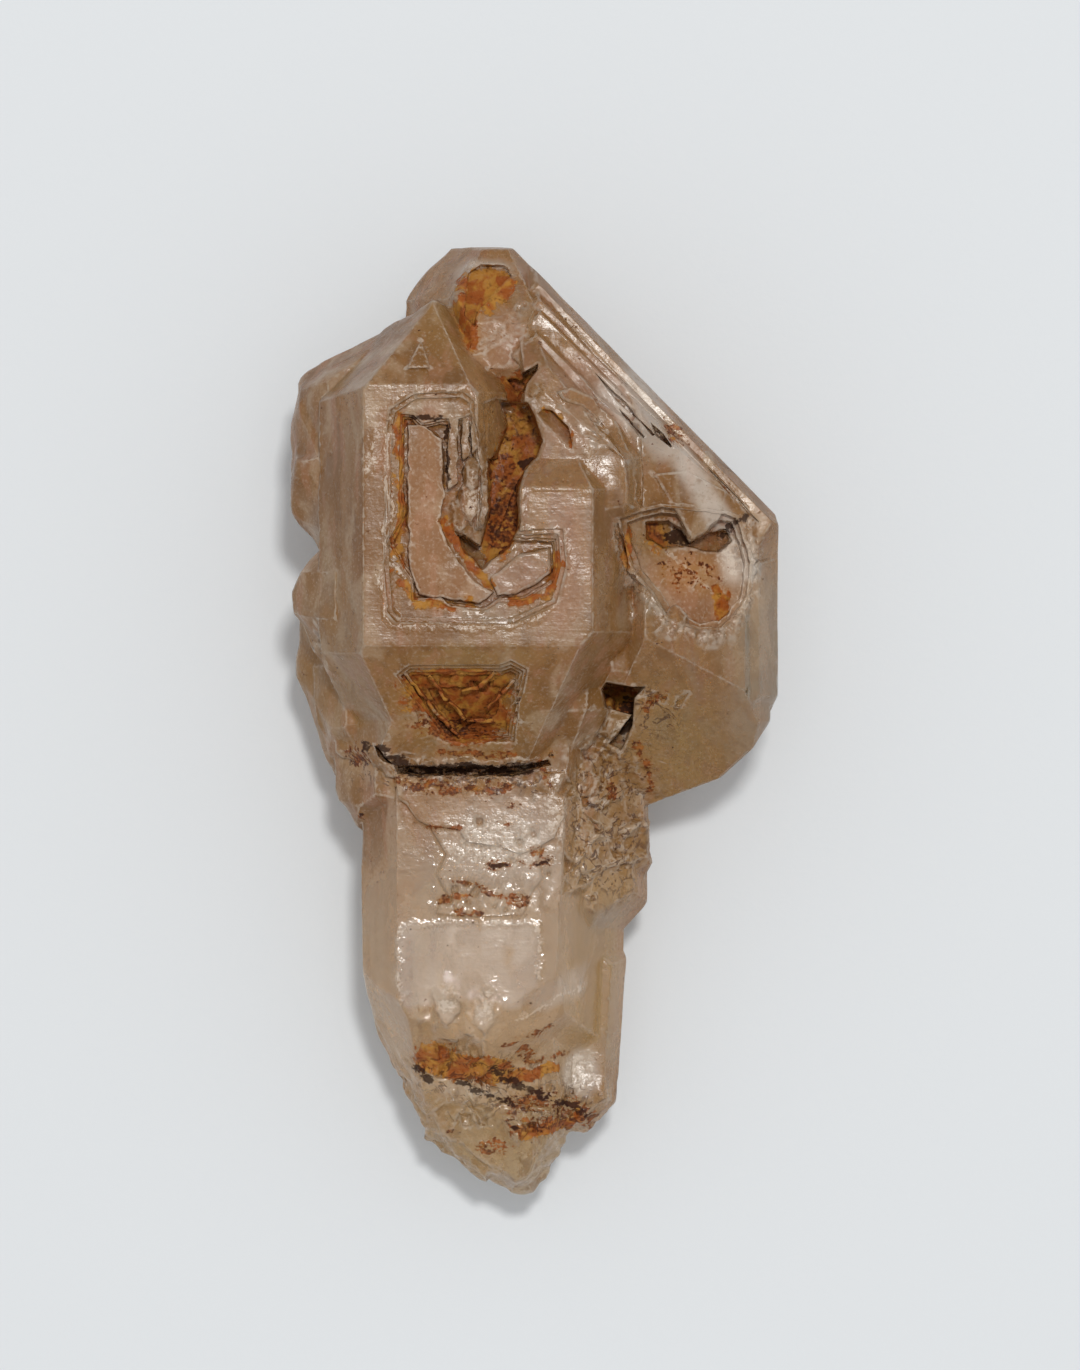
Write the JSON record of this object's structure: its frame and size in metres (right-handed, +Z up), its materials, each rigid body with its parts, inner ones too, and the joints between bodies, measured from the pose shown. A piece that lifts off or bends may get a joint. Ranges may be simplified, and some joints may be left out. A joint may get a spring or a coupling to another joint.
{
  "type": "skeletal quartz",
  "caption": "Skeletal quartz sceptre: a broad doubly ended head with stepped hollows in its faces, on a thinner broken stem, lying on its back.",
  "frame": {"origin": "on the table, below the middle of the bounding box", "axes": "+Y along the crystal, from the broken stem to the tip of the head; +Z up out of the face with the large hollow; +X to the right"},
  "size_m": [0.0308, 0.06, 0.022],
  "materials": {
    "quartz": "glassy faces, smoky tan, part clear, with iron stain in the hollows"
  },
  "bodies": {
    "root": {"quartz_crystal": "quartz"}
  },
  "joints": []
}
